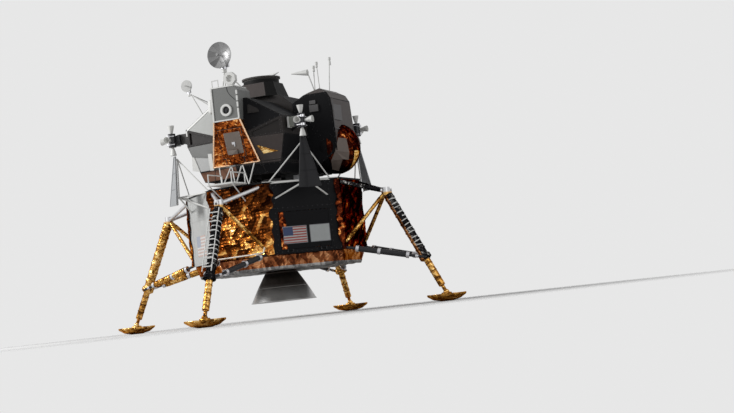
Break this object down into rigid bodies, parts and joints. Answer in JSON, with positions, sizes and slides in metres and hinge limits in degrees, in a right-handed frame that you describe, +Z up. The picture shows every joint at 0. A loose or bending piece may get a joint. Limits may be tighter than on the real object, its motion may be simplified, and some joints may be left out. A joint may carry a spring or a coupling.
{
  "type": "lunar module",
  "caption": "Two-stage crewed lander on four splayed legs: octagonal foil-wrapped lower stage, faceted cabin above, thruster clusters, dish antenna and engine bell.",
  "frame": {"origin": "on the ground, under the middle of the stages", "axes": "+Z up, -Y forward (hatch side), +X port side"},
  "size_m": [9.42, 9.42, 6.665],
  "materials": {
    "gold_foil": "crinkled gold film blanket",
    "copper_foil": "crinkled copper film blanket",
    "black_panel": "matt black shield panel",
    "grey_panel": "matt grey thermal paint",
    "white_panel": "white thermal paint",
    "bare_strut": "satin tube",
    "banded_strut": "black wrap with pale bands",
    "nozzle_metal": "heat-stained niobium",
    "thruster_metal": "pale coated bell",
    "engine_metal": "machined casting",
    "window_glass": "dark coated pane",
    "dish_metal": "satin reflector",
    "lens_glass": "dark lens",
    "dark_fitting": "dark anodised fitting",
    "plate_paint": "blank painted plate"
  },
  "bodies": {
    "lander": {"descent_body": "gold_foil", "descent_deck": "black_panel", "quadrant_panels": "black_panel", "base_shield": "copper_foil", "bay_hinge_pins": "bare_strut", "leg_struts_upper": "banded_strut", "leg_struts_lower": "gold_foil", "footpads": "gold_foil", "outriggers": "bare_strut", "secondary_struts": "gold_foil", "plume_deflectors": "white_panel", "deflector_trusses": "bare_strut", "porch": "bare_strut", "ladder": "bare_strut", "radar_hanger": "bare_strut", "crew_cabin": "grey_panel", "cabin_windows": "window_glass", "front_housing": "copper_foil", "front_tower": "grey_panel", "port_ring": "white_panel", "port_lens": "lens_glass", "hatch_hinge_pins": "dark_fitting", "front_braces": "white_panel", "midsection": "black_panel", "ascent_engine": "engine_metal", "docking_ring": "bare_strut", "docking_drogue": "dark_fitting", "port_tank_bay": "black_panel", "starboard_tank_bay": "grey_panel", "aft_equipment_bay": "grey_panel", "stage_fittings": "bare_strut", "rcs_quads": "dark_fitting", "rcs_nozzles": "thruster_metal", "radar_pedestal": "white_panel", "antenna_boom": "white_panel", "sensor_head": "white_panel", "vhf_antennas": "white_panel"},
    "hatch": {"forward_hatch": "grey_panel"},
    "bay_door": {"equipment_door": "black_panel", "equipment_pallet": "gold_foil", "plates": "plate_paint"},
    "gimbal_ring": {"engine_gimbal_ring": "engine_metal"},
    "engine": {"engine_chamber": "engine_metal", "descent_engine_bell": "nozzle_metal"},
    "ground_radar": {"landing_radar": "dark_fitting"},
    "dish_yoke": {"radar_yoke": "bare_strut"},
    "dish": {"radar_dish": "dish_metal"},
    "side_yoke": {"antenna_yoke": "bare_strut"},
    "side_antenna": {"antenna_dish": "dish_metal"}
  },
  "joints": [
    {"name": "hatch_hinge", "type": "hinge", "parent": "lander", "child": "hatch", "pos_m": [-0.321, -1.96732, 4.26049], "axis": [0, -0.2623, 0.965], "range_deg": [0, 90]},
    {"name": "bay_door_hinge", "type": "hinge", "parent": "lander", "child": "bay_door", "pos_m": [1.38706, -1.38706, 1.584], "axis": [0.7071, 0.7071, 0], "range_deg": [0, 100]},
    {"name": "engine_pitch", "type": "hinge", "parent": "lander", "child": "gimbal_ring", "pos_m": [0, 0, 1.75], "axis": [1, 0, 0], "range_deg": [-6, 6]},
    {"name": "engine_yaw", "type": "hinge", "parent": "gimbal_ring", "child": "engine", "pos_m": [0, 0, 1.75], "axis": [0, 1, 0], "range_deg": [-6, 6]},
    {"name": "ground_radar_tilt", "type": "hinge", "parent": "lander", "child": "ground_radar", "pos_m": [-0.7, 1.45, 1.065], "axis": [1, 0, 0], "range_deg": [0, 24]},
    {"name": "dish_turn", "type": "hinge", "parent": "lander", "child": "dish_yoke", "pos_m": [0, -2, 6.06], "axis": [0, 0, 1], "range_deg": [-60, 60]},
    {"name": "dish_tilt", "type": "hinge", "parent": "dish_yoke", "child": "dish", "pos_m": [0, -2, 6.35], "axis": [1, 0, 0], "range_deg": [-90, 15]},
    {"name": "side_antenna_turn", "type": "hinge", "parent": "lander", "child": "side_yoke", "pos_m": [-1.21, -1.6, 5.675], "axis": [0, 0, 1], "range_deg": [-60, 60]},
    {"name": "side_antenna_tilt", "type": "hinge", "parent": "side_yoke", "child": "side_antenna", "pos_m": [-1.21, -1.6, 5.84], "axis": [1, 0, 0], "range_deg": [-80, 10]}
  ]
}
